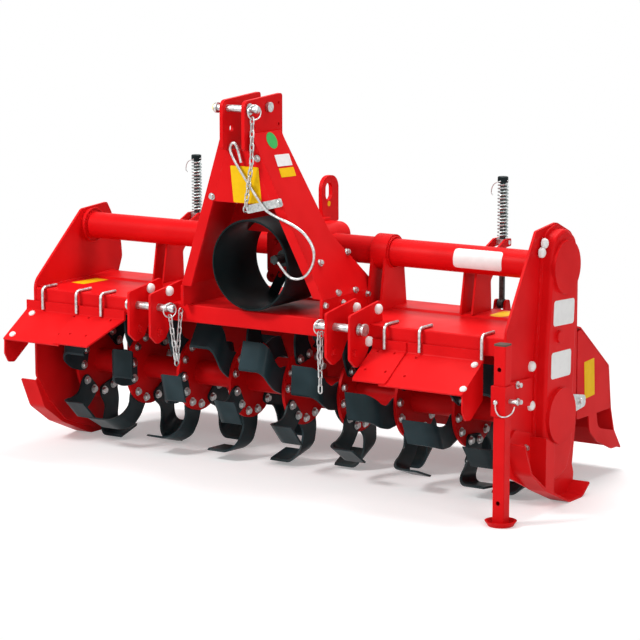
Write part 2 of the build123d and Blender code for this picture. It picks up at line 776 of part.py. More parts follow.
write("deck", deck())
write("side_plate_left", side_plate(side_outline_left(), -plate_outer))
write("side_plate_right", side_plate(side_outline_right(), plate_inner))
write("skid_left", skid(-1))
write("skid_right", skid(1))
write("cross_tube_left", cross_tube(-1))
write("cross_tube_right", cross_tube(1))
write("gearbox", gearbox())
write("input_shaft", input_shaft())
write("shaft_shield", shield())
write("side_drive_cover", side_drive_cover())
write("lifting_eye", lifting_eye())
write("mast_plate_left", mast_plate(-1))
write("mast_plate_right", mast_plate(1))
write("mast_foot_left", mast_foot(-1))
write("mast_foot_right", mast_foot(1))
write("mast_front_sheet", mast_front())
write("top_ear_left", ear(-1))
write("top_ear_right", ear(1))
write("top_link_pin", top_pin())
write("top_ear_bolt", top_bolt())
for name, sign in (("left", -1), ("right", 1)):
    near = sign * (hitch_x - hitch_gap / 2 - cheek_thick / 2)
    far = sign * (hitch_x + hitch_gap / 2 + cheek_thick / 2)
    write(f"hitch_cheek_inner_{name}", cheek(near))
    write(f"hitch_cheek_outer_{name}", cheek(far))
    write(f"lower_link_pin_{name}", lower_pin(sign))
    write(f"spring_strut_{name}", strut(sign))
    write(f"spring_trunnion_{name}", trunnion(sign))
    write(f"spring_rod_{name}", spring_rod(sign))
    write(f"spring_upper_{name}", spring(sign, trunnion_z + 13, rod_top - 21, 16))
    write(f"spring_lower_{name}", spring(sign, trunnion_z - 104, trunnion_z - 13, 6))
    write(f"rotor_bearing_{name}", bearing(sign))
write("front_guard_left", guard_left())
write("front_guard_right", guard_right())
write("guard_rods_left", guard_rods([(-986, 0), (-818, guard_thick), (-700, guard_thick)]))
write("guard_rods_right", guard_rods([(560, guard_thick), (700, 0), (950, 0)]))
write("tailboard", tailboard())
write("tailboard_hinge_pins", hinge_pins())
write("stand_sleeve", sleeve())
write("stand_leg", stand_leg())
write("stand_pin", stand_pin())
write("rotor_shaft", rotor_shaft())
write("rotor_bearing_cap", bearing_cap())
write("tailboard_catch", tail_catch())
tine_right = tine()
tine_left = mirror(tine_right, Plane.YZ)
for i in range(flange_count):
    write(f"tines_{i + 1}", tine_star(i, tine_right, tine_left))
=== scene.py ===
import json

import bmesh
import bpy
import numpy as np
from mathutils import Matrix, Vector


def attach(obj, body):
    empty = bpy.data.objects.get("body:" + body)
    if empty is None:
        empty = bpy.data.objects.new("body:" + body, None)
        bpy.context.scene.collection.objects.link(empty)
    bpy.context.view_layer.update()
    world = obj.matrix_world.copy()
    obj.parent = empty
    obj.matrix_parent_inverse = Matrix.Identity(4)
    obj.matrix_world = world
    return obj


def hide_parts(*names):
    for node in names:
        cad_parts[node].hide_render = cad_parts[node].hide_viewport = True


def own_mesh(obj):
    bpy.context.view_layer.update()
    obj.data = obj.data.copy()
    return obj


# Looks of the tractor-mounted tiller. Metres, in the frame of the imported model:
# +X along the rotor towards the gear drive, -Y towards the tractor, +Z up from the floor.
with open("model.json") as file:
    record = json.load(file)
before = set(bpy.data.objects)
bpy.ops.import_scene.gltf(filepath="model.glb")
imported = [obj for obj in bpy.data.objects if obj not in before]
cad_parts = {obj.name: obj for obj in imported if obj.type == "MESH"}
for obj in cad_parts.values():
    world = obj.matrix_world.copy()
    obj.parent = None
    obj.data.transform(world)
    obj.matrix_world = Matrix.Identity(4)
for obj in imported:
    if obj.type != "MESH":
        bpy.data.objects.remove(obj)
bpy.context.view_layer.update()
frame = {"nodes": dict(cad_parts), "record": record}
nodes = frame["nodes"]

# Rotor, in metres and radians: its axis, its flanges, and the bolts of the tines beside the axis
ROTOR_Y = -0.070
ROTOR_Z = 0.308
FLANGES = 9
FLANGE_PITCH = 0.243
FLANGE_HALF = 0.006
TINES = 6
TINE_THICK = 0.008
HELIX = np.radians(14)
FIRST_TINE = np.radians(76)
TINE_BOLT_SIDE = 0.030
TINE_BOLT_HIGH = 0.119

# Millimetres off the rotor's axis, the way the parts are drawn
TUBE_Y = 25
TUBE_Z = 532
ROD_X = 690
ROD_Y = 268
ROD_CAP_Z = 785
GEARBOX_Z = 500
GEARBOX_FRONT = -85
BEARING_CAP_X = -1062.3
COVER_X = 1086.2
DECK_LEFT_Z = 325.2
DECK_RIGHT_Z = 332.2
TOP_PIN = (-438, 1073)
LOWER_PIN = (-402, 318)
SIDES = (("left", -1), ("right", 1))

# Directions. The mast leans by 88 over a rise of 585, and each of its cheeks by 246 over the same rise
RIGHT = (1, 0, 0)
LEFT = (-1, 0, 0)
FRONT = (0, -1, 0)
UP = (0, 0, 1)
MAST_OUT = np.array([0, -585, -88.0]) / 591.6
MAST_UP = np.array([0, -88.0, 585]) / 591.6
MAST_FOOT = np.array([0, -424.0, 708.0])
CHEEK_OUT = np.array([585, 0, 246.0]) / 634.6
GUARD_FALL = np.radians(33)


def spot(x, y, z):
    """Metres in the model's frame, from millimetres off the rotor's axis, the way the parts are drawn."""
    x, y, z = np.broadcast_arrays(x, y, z)
    return np.stack([x, y - 70.0, z + 308.0], -1) / 1000


def spots(*places):
    """The same for places given one by one, each as (x, y, z)."""
    return spot(*np.transpose(places))


def on_mast(across, up, out=0):
    """A place on the mast's front plane: millimetres across, up the plane from its foot, and off its face."""
    across, up, out = (a[..., None] for a in np.broadcast_arrays(across, up, out))
    return (MAST_FOOT + across * np.array(RIGHT, float) + up * MAST_UP + out * MAST_OUT) / 1000


# Shapes: grids of points, in metres round the origin with their own Z outwards, or along a path
def turned(rows, columns):
    """Rows of (radius, height, hexness) carried round the local Z axis.

    The radius at angle t is that of a circle, drawn in towards a hexagon whose corners lie on the circle:
    r * (1 - h + h * cos 30 / cos((t + 30) mod 60 - 30)), with t in degrees.
    """
    rows = np.asarray(rows, float)
    t = np.arange(columns) * 2 * np.pi / columns
    hexagon = np.cos(np.pi / 6) / np.cos((t + np.pi / 6) % (np.pi / 3) - np.pi / 6)
    radius, height, h = rows[:, 0:1], rows[:, 1:2], rows[:, 2:3]
    r = radius * (1 - h + h * hexagon)
    return np.stack([r * np.cos(t), r * np.sin(t), height + 0 * r], -1)


def bolt_head(across, high, washer=1.35):
    """Rows of a hexagon head on its washer: flat washer, upright hexagon, and a chamfer turned round on top."""
    r = across / 2 / np.cos(np.pi / 6)
    w = r * washer
    t = high * 0.22
    return [(0, 0, 0), (w, 0, 0), (w, t, 0), (r, t, 1), (r, high * 0.9, 1), (r * 0.86, high, 0.2), (0, high, 0)]


def dome(radius, high):
    """Rows of a domed cap: a short wall, then a quarter of an ellipse up to the pole."""
    a = np.linspace(0, np.pi / 2, 6)
    arc = np.stack([radius * np.cos(a), high * 0.3 + high * 0.7 * np.sin(a), 0 * a], -1)
    return np.vstack([[(0, 0, 0), (radius, 0, 0)], arc])


def disc(radius, thick):
    """Rows of a flat disc: up its edge from the middle of one face to the middle of the other."""
    return [(0, 0, 0), (radius, 0, 0), (radius, thick, 0), (0, thick, 0)]


def plaque(width, high, corner, thick, steps=5):
    """A thin plate with round corners: a rounded rectangle at its back and its front, each closed to the middle."""
    a = np.linspace(0, np.pi / 2, steps)
    quarter = np.stack([np.cos(a), np.sin(a)], -1) * corner
    centres = np.array([[1, 1], [-1, 1], [-1, -1], [1, -1]]) * [width / 2 - corner, high / 2 - corner]
    turns = [np.eye(2), np.array([[0, 1], [-1, 0]]), -np.eye(2), np.array([[0, -1], [1, 0]])]
    outline = np.vstack([centre + quarter @ turn for centre, turn in zip(centres, turns)])
    rows = [(0, 0), (1, 0), (1, thick), (0, thick)]
    return np.stack([np.column_stack([outline * k, np.full(len(outline), z)]) for k, z in rows])


def ring(radius, wire, columns=32, sides=8):
    """A torus round local Z: a small circle of wire carried round a large one; both ways close."""
    u = np.arange(columns)[:, None] * 2 * np.pi / columns
    v = np.arange(sides)[None, :] * 2 * np.pi / sides
    r = radius + wire * np.cos(v)
    return np.stack([r * np.cos(u), r * np.sin(u), wire * np.sin(v) + 0 * u], -1)


def stood(grid, places, axes, turns=0):
    """Copies of a grid, each with its local Z along an axis and its origin at a place, turned about that axis."""
    places, axes = np.atleast_2d(places).astype(float), np.atleast_2d(axes).astype(float)
    axes = np.broadcast_to(axes / np.linalg.norm(axes, axis=1, keepdims=True), places.shape)
    helper = np.where(np.abs(axes[:, 2:3]) < 0.9, [[0, 0, 1.0]], [[1.0, 0, 0]])
    x = np.cross(helper, axes)
    x /= np.linalg.norm(x, axis=1, keepdims=True)
    y = np.cross(axes, x)
    turns = np.broadcast_to(np.asarray(turns, float), places.shape[:1])[:, None]
    x, y = x * np.cos(turns) + y * np.sin(turns), y * np.cos(turns) - x * np.sin(turns)
    basis = np.stack([x, y, axes], 1)
    return np.einsum("rcj,kji->krci", grid, basis) + places[:, None, None, :]


def carried(path, radius, sides=10, closed=False):
    """A round section carried along a path of points.

    The section's two directions are the cross products of the path's tangent with one fixed direction,
    which is square to the plane that the path mostly lies in.
    """
    path = np.asarray(path, float)
    ahead = np.roll(path, -1, 0) if closed else np.vstack([path[1:], 2 * path[-1] - path[-2]])
    behind = np.roll(path, 1, 0) if closed else np.vstack([2 * path[0] - path[1], path[:-1]])
    tangent = ahead - behind
    tangent /= np.linalg.norm(tangent, axis=1, keepdims=True)
    flat = np.linalg.svd(path - path.mean(0))[2][2]
    u = np.cross(tangent, flat)
    u /= np.linalg.norm(u, axis=1, keepdims=True)
    v = np.cross(tangent, u)
    t = np.arange(sides) * 2 * np.pi / sides
    circle = np.cos(t)[None, :, None] * u[:, None, :] + np.sin(t)[None, :, None] * v[:, None, :]
    return path[:, None, :] + radius * circle


def rounded(path, times=3):
    """A path with its corners cut again and again: each corner gives points at a quarter and three quarters."""
    path = np.asarray(path, float)
    for _ in range(times):
        near = path[:-1] * 0.75 + path[1:] * 0.25
        far = path[:-1] * 0.25 + path[1:] * 0.75
        cut = np.stack([near, far], 1).reshape(-1, path.shape[1])
        path = np.vstack([path[:1], cut[1:-1], path[-1:]])
    return path


def weld(path, radius, ripples):
    """A weld bead along a path: a round section whose radius swells with each ripple, r (1 + 0.13 sin n t)."""
    path = np.asarray(path, float)
    long = np.concatenate([[0], np.cumsum(np.linalg.norm(np.diff(path, axis=0), axis=1))])
    t = np.linspace(0, long[-1], ripples * 6)
    path = np.stack([np.interp(t, long, path[:, i]) for i in range(3)], -1)
    bead = carried(path, 1.0, 8)
    swell = radius * (1 + 0.13 * np.sin(np.arange(len(t)) * np.pi / 3))
    return path[:, None, :] + (bead - path[:, None, :]) * swell[:, None, None]


LINK_WIDE, LINK_LONG, LINK_WIRE, LINK_PITCH = 0.0072, 0.0080, 0.0028, 0.0247
LINK_POINTS = 14


def chain_link():
    """One link in local X and Z: two half circles of wire, apart by its straight sides."""
    t = np.arange(LINK_POINTS) * 2 * np.pi / LINK_POINTS + np.pi / LINK_POINTS
    path = np.stack([LINK_WIDE * np.cos(t), 0 * t, LINK_WIDE * np.sin(t) + LINK_LONG * np.sign(np.sin(t))], -1)
    return carried(path, LINK_WIRE, 6, closed=True)


def strand(start, end, quarter=0):
    """Links from one place to another, each turned a quarter from the one before: (links, path, sides, 3)."""
    down = end - start
    long = np.linalg.norm(down)
    count = max(1, int(round(long / LINK_PITCH)))
    up = -down / long
    x = np.array([1.0, 0, 0]) - up * up[0]
    x /= np.linalg.norm(x)
    y = np.cross(up, x)
    turn = (np.arange(count) + quarter) % 2 * np.pi / 2
    wide = np.cos(turn)[:, None] * x + np.sin(turn)[:, None] * y
    flat = np.cos(turn)[:, None] * y - np.sin(turn)[:, None] * x
    basis = np.stack([wide, flat, np.broadcast_to(up, wide.shape)], 1)
    centres = start + down * ((np.arange(count) + 0.5) / count)[:, None]
    return np.einsum("rcj,kji->krci", chain_link(), basis) + centres[:, None, None, :]


# Shader nodes
def group(name, inputs, outputs):
    """An empty node group with its sockets; returns the group, its input node and its output node."""
    tree = bpy.data.node_groups.new(name, "ShaderNodeTree")
    for label, kind, value in inputs:
        socket = tree.interface.new_socket(label, in_out="INPUT", socket_type=f"NodeSocket{kind}")
        socket.default_value = value
    for label, kind in outputs:
        tree.interface.new_socket(label, in_out="OUTPUT", socket_type=f"NodeSocket{kind}")
    return tree, tree.nodes.new("NodeGroupInput"), tree.nodes.new("NodeGroupOutput")


def node(tree, kind, links=None, **values):
    """A node with its settings, and its inputs as plain values or as sockets to link."""
    made = tree.nodes.new(kind)
    for key, value in values.items():
        setattr(made, key, value)
    for key, value in (links or {}).items():
        if isinstance(value, bpy.types.NodeSocket):
            tree.links.new(value, made.inputs[key])
        else:
            made.inputs[key].default_value = value
    return made


def math(tree, operation, a, b, clamp=False):
    return node(tree, "ShaderNodeMath", {0: a, 1: b}, operation=operation, use_clamp=clamp).outputs[0]


def remap(tree, value, low, high, to_low=0.0, to_high=1.0):
    """A value from low to high brought to another range, with a smooth start and end."""
    links = {"Value": value, "From Min": low, "From Max": high, "To Min": to_low, "To Max": to_high}
    return node(tree, "ShaderNodeMapRange", links, interpolation_type="SMOOTHSTEP").outputs["Result"]


def mix(tree, factor, a, b):
    """Colour a, going over to colour b with the factor."""
    return node(tree, "ShaderNodeMix", {0: factor, 6: a, 7: b}, data_type="RGBA").outputs[2]


def object_place(tree):
    return node(tree, "ShaderNodeTexCoord").outputs["Object"]


# Material effects shared by more than one finish
def make_edge_wear():
    """Mask of worn edges: where a rounded normal leaves the true one, broken up by fine noise."""
    tree, inside, outside = group("edge_wear", [("Width", "Float", 0.002), ("Amount", "Float", 0.6),
                                                ("Grain", "Float", 60.0)], [("Mask", "Float")])
    true = node(tree, "ShaderNodeNewGeometry").outputs["Normal"]
    soft = node(tree, "ShaderNodeBevel", {"Radius": inside.outputs["Width"]}, samples=4).outputs["Normal"]
    dot = node(tree, "ShaderNodeVectorMath", {0: true, 1: soft}, operation="DOT_PRODUCT").outputs["Value"]
    edge = remap(tree, dot, 0.99, 0.80)
    noise = node(tree, "ShaderNodeTexNoise", {"Vector": object_place(tree), "Scale": inside.outputs["Grain"],
                                              "Detail": 5.0})
    broken = remap(tree, noise.outputs["Fac"], 0.50, 0.66)
    mask = math(tree, "MULTIPLY", math(tree, "MULTIPLY", edge, broken), inside.outputs["Amount"], clamp=True)
    tree.links.new(mask, outside.inputs["Mask"])
    return tree


def make_dust():
    """Mask of settled dust: faces that look up, more of it low down, in soft patches."""
    tree, inside, outside = group("dust", [("Amount", "Float", 0.3), ("Scale", "Float", 6.0),
                                           ("Reach", "Float", 0.5)], [("Mask", "Float")])
    place = object_place(tree)
    normal = node(tree, "ShaderNodeNewGeometry").outputs["Normal"]
    up = node(tree, "ShaderNodeSeparateXYZ", {"Vector": normal}).outputs["Z"]
    facing = remap(tree, up, 0.1, 0.95, 0.25, 1.0)
    high = node(tree, "ShaderNodeSeparateXYZ", {"Vector": place}).outputs["Z"]
    low = remap(tree, high, inside.outputs["Reach"], 0.0, 0.25, 1.0)
    noise = node(tree, "ShaderNodeTexNoise", {"Vector": place, "Scale": inside.outputs["Scale"], "Detail": 6.0,
                                              "Roughness": 0.6})
    patch = remap(tree, noise.outputs["Fac"], 0.35, 0.75)
    mask = math(tree, "MULTIPLY", math(tree, "MULTIPLY", facing, low), patch)
    mask = math(tree, "MULTIPLY", mask, inside.outputs["Amount"], clamp=True)
    tree.links.new(mask, outside.inputs["Mask"])
    return tree


def make_peel():
    """Height of a sprayed coat, fine orange peel over a slow waviness of the sheet below, and its slow cloud."""
    tree, inside, outside = group("orange_peel", [("Scale", "Float", 350.0), ("Wave", "Float", 0.4)],
                                  [("Height", "Float"), ("Cloud", "Float")])
    place = object_place(tree)
    fine = node(tree, "ShaderNodeTexNoise", {"Vector": place, "Scale": inside.outputs["Scale"], "Detail": 2.0})
    slow = node(tree, "ShaderNodeTexNoise", {"Vector": place, "Scale": 7.0, "Detail": 2.0})
    wave = math(tree, "MULTIPLY", slow.outputs["Fac"], inside.outputs["Wave"])
    height = math(tree, "ADD", fine.outputs["Fac"], wave)
    tree.links.new(height, outside.inputs["Height"])
    tree.links.new(slow.outputs["Fac"], outside.inputs["Cloud"])
    return tree


def make_metal_grain():
    """Spangle of zinc or drawn grain of steel: a stretched noise, and its height with small cells on it."""
    tree, inside, outside = group("metal_grain", [("Scale", "Float", 90.0), ("Stretch", "Vector", (1, 1, 1))],
                                  [("Grain", "Float"), ("Height", "Float")])
    scale = inside.outputs["Scale"]
    pulled = node(tree, "ShaderNodeMapping", {"Vector": object_place(tree), "Scale": inside.outputs["Stretch"]})
    pulled = pulled.outputs["Vector"]
    grain = node(tree, "ShaderNodeTexNoise", {"Vector": pulled, "Scale": scale, "Detail": 4.0, "Roughness": 0.6})
    finer = math(tree, "MULTIPLY", scale, 1.6)
    cells = node(tree, "ShaderNodeTexVoronoi", {"Vector": pulled, "Scale": finer})
    height = math(tree, "ADD", grain.outputs["Fac"], math(tree, "MULTIPLY", cells.outputs["Distance"], 0.4))
    tree.links.new(grain.outputs["Fac"], outside.inputs["Grain"])
    tree.links.new(height, outside.inputs["Height"])
    return tree


def make_mottle():
    """Faint clouds of printed film or moulded plastic."""
    tree, inside, outside = group("mottle", [("Scale", "Float", 40.0)], [("Cloud", "Float")])
    noise = node(tree, "ShaderNodeTexNoise", {"Vector": object_place(tree), "Scale": inside.outputs["Scale"],
                                              "Detail": 3.0})
    tree.links.new(noise.outputs["Fac"], outside.inputs["Cloud"])
    return tree


def make_soft_bump():
    """Normal of a bumpy surface, over edges that are rounded in the normal only."""
    tree, inside, outside = group("soft_bump", [("Height", "Float", 0.0), ("Strength", "Float", 0.1),
                                                ("Distance", "Float", 0.0005), ("Edge", "Float", 0.001)],
                                  [("Normal", "Vector")])
    soft = node(tree, "ShaderNodeBevel", {"Radius": inside.outputs["Edge"]}, samples=4)
    made = node(tree, "ShaderNodeBump", {"Height": inside.outputs["Height"], "Strength": inside.outputs["Strength"],
                                         "Distance": inside.outputs["Distance"], "Normal": soft.outputs["Normal"]})
    tree.links.new(made.outputs["Normal"], outside.inputs["Normal"])
    return tree


EDGE_WEAR = make_edge_wear()
DUST = make_dust()
PEEL = make_peel()
METAL_GRAIN = make_metal_grain()
MOTTLE = make_mottle()
SOFT_BUMP = make_soft_bump()


# Finishes
def use(tree, effect, **values):
    """A shared effect in a material's tree, its inputs given as plain values or as sockets to link."""
    return node(tree, "ShaderNodeGroup", values, node_tree=effect).outputs


def start(name, **values):
    """A material with its Principled shader and the plain values set on it."""
    material = bpy.data.materials.new(name)
    material.use_nodes = True
    tree = material.node_tree
    shader = tree.nodes["Principled BSDF"]
    for key, value in values.items():
        shader.inputs[key.replace("_", " ")].default_value = value
    return material, tree, shader


SHOP_DUST = (0.36, 0.30, 0.24, 1)
BARE_METAL = (0.30, 0.30, 0.31, 1)


def coat(name, colour, deep, roughness, dust_amount, clear, edge=0.0015, wear=0.25, bare=BARE_METAL):
    """Sprayed paint: two tones in slow clouds, worn edges, dust, orange peel."""
    material, tree, shader = start(name, Coat_Weight=clear, Coat_Roughness=0.10, Specular_IOR_Level=0.07)
    peel = use(tree, PEEL)
    worn = use(tree, EDGE_WEAR, Amount=wear)["Mask"]
    dust = use(tree, DUST, Amount=dust_amount)["Mask"]
    tone = mix(tree, remap(tree, peel["Cloud"], 0.3, 0.7), colour, deep)
    tone = mix(tree, dust, tone, SHOP_DUST)
    tone = mix(tree, worn, tone, bare)
    tree.links.new(tone, shader.inputs["Base Color"])
    rough = math(tree, "ADD", remap(tree, peel["Cloud"], 0.2, 0.8, roughness, roughness + 0.08),
                 math(tree, "MULTIPLY", dust, 0.4), clamp=True)
    tree.links.new(rough, shader.inputs["Roughness"])
    bumpy = use(tree, SOFT_BUMP, Height=peel["Height"], Strength=0.05, Distance=0.0006, Edge=edge)
    tree.links.new(bumpy["Normal"], shader.inputs["Normal"])
    return material


def plated(name, light, dark, roughness, scale=90.0, stretch=(1, 1, 1)):
    """Zinc, brass or bare steel: spangle or drawn grain in two tones, with dull and bright spots."""
    material, tree, shader = start(name, Metallic=1.0)
    metal = use(tree, METAL_GRAIN, Scale=scale, Stretch=stretch)
    tone = mix(tree, remap(tree, metal["Grain"], 0.3, 0.7), dark, light)
    tree.links.new(tone, shader.inputs["Base Color"])
    rough = remap(tree, metal["Grain"], 0.25, 0.75, roughness, roughness + 0.22)
    tree.links.new(rough, shader.inputs["Roughness"])
    bumpy = use(tree, SOFT_BUMP, Height=metal["Height"], Strength=0.12, Distance=0.0004, Edge=0.0006)
    tree.links.new(bumpy["Normal"], shader.inputs["Normal"])
    return material


def moulded(name, colour, roughness):
    """Printed film or moulded plastic: one colour with a faint mottle."""
    material, tree, shader = start(name, Specular_IOR_Level=0.10)
    cloud = use(tree, MOTTLE)["Cloud"]
    faded = tuple(c * 0.95 for c in colour[:3]) + (1,)
    tone = mix(tree, remap(tree, cloud, 0.35, 0.7), colour, faded)
    tree.links.new(tone, shader.inputs["Base Color"])
    rough = remap(tree, cloud, 0.3, 0.7, roughness, roughness + 0.1)
    tree.links.new(rough, shader.inputs["Roughness"])
    return material


PAINT = coat("red_enamel", (0.69, 0.006, 0.008, 1), (0.62, 0.004, 0.006, 1), 0.40, 0.04, clear=0.0)
TINE_COAT = coat("tine_enamel", (0.022, 0.042, 0.050, 1), (0.010, 0.022, 0.026, 1), 0.30, 0.12, clear=0.05,
                 edge=0.0008, wear=0.5, bare=(0.16, 0.17, 0.17, 1))
DRUM = coat("drum_black", (0.008, 0.016, 0.018, 1), (0.004, 0.009, 0.010, 1), 0.38, 0.08, clear=0.03, wear=0.0)
ZINC = plated("zinc", (0.68, 0.69, 0.68, 1), (0.42, 0.44, 0.44, 1), 0.26)
SPRING_ZINC = plated("dull_zinc", (0.56, 0.61, 0.60, 1), (0.30, 0.34, 0.34, 1), 0.30)
ROD_DARK = plated("oiled_rod", (0.10, 0.11, 0.11, 1), (0.04, 0.05, 0.05, 1), 0.40)
BRASS = plated("brass", (0.62, 0.42, 0.12, 1), (0.34, 0.21, 0.06, 1), 0.30)
STEEL = plated("machined_steel", (0.55, 0.55, 0.54, 1), (0.30, 0.30, 0.30, 1), 0.25, 60.0, (1, 8, 1))
WHITE_CAP = moulded("white_cap", (0.82, 0.82, 0.80, 1), 0.4)
YELLOW = moulded("yellow_film", (0.84, 0.50, 0.005, 1), 0.45)
GREEN = moulded("green_film", (0.05, 0.42, 0.10, 1), 0.35)
FILM = moulded("white_film", (0.80, 0.80, 0.79, 1), 0.35)
CAP_BROWN = moulded("stand_cap", (0.10, 0.075, 0.06, 1), 0.5)

# Finish of each CAD node by its slot in the record, and the nodes that have one of their own
FINISH = {"red_paint": PAINT, "tine_steel": TINE_COAT, "zinc_plate": ZINC, "bare_steel": STEEL, "black_guard": DRUM}
OWN = {"input_shaft": ROD_DARK}
for side, _ in SIDES:
    OWN[f"spring_rod_{side}"] = ROD_DARK
    OWN[f"spring_upper_{side}"] = SPRING_ZINC
    OWN[f"spring_lower_{side}"] = SPRING_ZINC
for part in frame["record"]["subparts"]:
    for holder in nodes[part["node"]].material_slots:
        holder.material = OWN.get(part["node"], FINISH[part["material_slot"]])


# Pieces
def quads(rows, columns, copies=1, close_rows=False, close_columns=True):
    """Corner numbers of the faces of a grid of points, the same for each copy of it.

    Face (i, j) joins points (i, j), (i, j+1), (i+1, j+1), (i+1, j).
    """
    i = np.arange(rows if close_rows else rows - 1)
    j = np.arange(columns if close_columns else columns - 1)
    i, j = np.meshgrid(i, j, indexing="ij")
    right, below = (j + 1) % columns, (i + 1) % rows
    corners = np.stack([i * columns + j, i * columns + right, below * columns + right, below * columns + j], -1)
    corners = corners.reshape(1, -1, 4) + (np.arange(copies) * rows * columns).reshape(-1, 1, 1)
    return corners.reshape(-1, 4)


def surface(name, grid, material, body="frame", close_rows=False, close_columns=True, smooth=40):
    """A piece from a grid of points of shape (copies, rows, columns, 3), or (rows, columns, 3) for one.

    Its poles are merged and its faces turned outwards, and it rides on its body.
    """
    if grid.ndim == 3:
        grid = grid[None]
    copies, rows, columns, _ = grid.shape
    mesh = bpy.data.meshes.new(name)
    faces = quads(rows, columns, copies, close_rows, close_columns)
    mesh.from_pydata(grid.reshape(-1, 3).tolist(), [], faces.tolist())
    work = bmesh.new()
    work.from_mesh(mesh)
    bmesh.ops.remove_doubles(work, verts=work.verts, dist=2e-6)
    bmesh.ops.recalc_face_normals(work, faces=work.faces)
    work.to_mesh(mesh)
    work.free()
    mesh.materials.append(material)
    mesh.shade_smooth()
    mesh.set_sharp_from_angle(angle=np.radians(smooth))
    piece = bpy.data.objects.new(name, mesh)
    bpy.context.scene.collection.objects.link(piece)
    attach(piece, body)
    return piece


def fitted(name, shape, places, axes, material=ZINC, body="frame", turns=0, **how):
    """Copies of one shape at many places, as one piece."""
    return surface(name, stood(shape, places, axes, turns), material, body, **how)


def bolts(name, places, axes, across, high, material=ZINC, body="frame"):
    """Bolt heads with washers at many places, turned a little so that no hexagon stands straight."""
    fitted(name, turned(bolt_head(across, high), 12), places, axes, material, body, turns=0.3)


def tine_bolts():
    """Two bolts through each tine's root: head on the tine, nut on the flange's other face.

    Tine k of flange i stands at the angle a = first + helix * i + 60 k degrees about the rotor's axis. A bolt
    drawn at (side, high) beside the axis comes to y = side cos a - high sin a, z = side sin a + high cos a.
    """
    for i in range(FLANGES):
        k = np.arange(TINES)
        to_right = ((k % 2 == 0) | (i == 0)) & (i != FLANGES - 1)
        side = np.where(to_right, 1.0, -1.0)[:, None]
        angle = (FIRST_TINE + HELIX * i + 2 * np.pi / TINES * k)[:, None]
        across = np.array([-TINE_BOLT_SIDE, TINE_BOLT_SIDE])
        y = ROTOR_Y + across * np.cos(angle) - TINE_BOLT_HIGH * np.sin(angle)
        z = ROTOR_Z + across * np.sin(angle) + TINE_BOLT_HIGH * np.cos(angle)
        middle = (i - (FLANGES - 1) / 2) * FLANGE_PITCH
        head_x = middle + side * (FLANGE_HALF + TINE_THICK) + 0 * y
        nut_x = middle - side * FLANGE_HALF + 0 * y
        heads = np.stack([head_x, y, z], -1).reshape(-1, 3)
        nuts = np.stack([nut_x, y, z], -1).reshape(-1, 3)
        axis = np.repeat(side, 2, 0) * np.array(RIGHT)
        bolts(f"tine_bolts_{i + 1}", np.vstack([heads, nuts]), np.vstack([axis, -axis]), 0.022, 0.012, body="rotor")


def caps():
    """White plastic caps over the main bolts: on the hitch cheeks, the right plate and the guards."""
    side = spots((391, -262, 368), (489, -272, 373), (489, -334, 266), (-479, -325, 371), (-381, -340, 371),
                 (1048, -80, 628), (1048, -99, 598), (1040, -146, 203), (1040, -148, 64))
    fitted("white_caps_side", turned(dome(0.0185, 0.018), 24), side, RIGHT, WHITE_CAP)
    guard = spots((-1030, -346, 226.5), (-1042, -450, 159), (930, -346, 226.5), (944, -448, 160))
    square_to_guard = (0, -np.sin(GUARD_FALL), np.cos(GUARD_FALL))
    fitted("white_caps_guard", turned(dome(0.0130, 0.010), 24), guard, square_to_guard, WHITE_CAP)


def frame_bolts():
    """Hexagon bolts of the mast, the stand's arm, the right skid, the catch, the hitch and the covers."""
    bolts("mast_front_bolts", on_mast([-133, 82], [351, 505]), MAST_OUT, 0.017, 0.010)
    feet = spots((312, -342, 378), (312, -223, 372), (312, -60, 384))
    bolts("mast_foot_bolts", feet, RIGHT, 0.017, 0.012)
    cheek = spots((306, -248, 411), (308, -137, 407), (253, -105, 538), (260, -295, 522)) + CHEEK_OUT * 0.0002
    bolts("mast_cheek_bolts", cheek, CHEEK_OUT, 0.017, 0.012)
    bolts("stand_arm_bolts", spots((1050, -261, 157), (1050, -259, 97)), RIGHT, 0.017, 0.018)
    bolts("skid_bolts", spots((1048, -193, -78), (1048, -30, -100)), RIGHT, 0.017, 0.014)
    bolts("catch_bolts", spots((1046.3, 150, 24), (1046.3, 215, 20)), RIGHT, 0.020, 0.012)
    hitch = spots((391, -411, 232), (489, -425, 236), (-479, -389, 226), (-381, -396, 226))
    bolts("hitch_bolts", hitch, RIGHT, 0.022, 0.010, PAINT)
    a = np.arange(6) * np.pi / 3 + 0.3
    on_cap = spot(BEARING_CAP_X, 52 * np.cos(a), 52 * np.sin(a))
    bolts("bearing_cap_bolts", on_cap, LEFT, 0.016, 0.009)
    a = np.arange(8) * np.pi / 4 + 0.2
    round_neck = spot(88 * np.cos(a), GEARBOX_FRONT, GEARBOX_Z + 88 * np.sin(a))
    bolts("gearbox_bolts", round_neck, FRONT, 0.018, 0.010, PAINT)


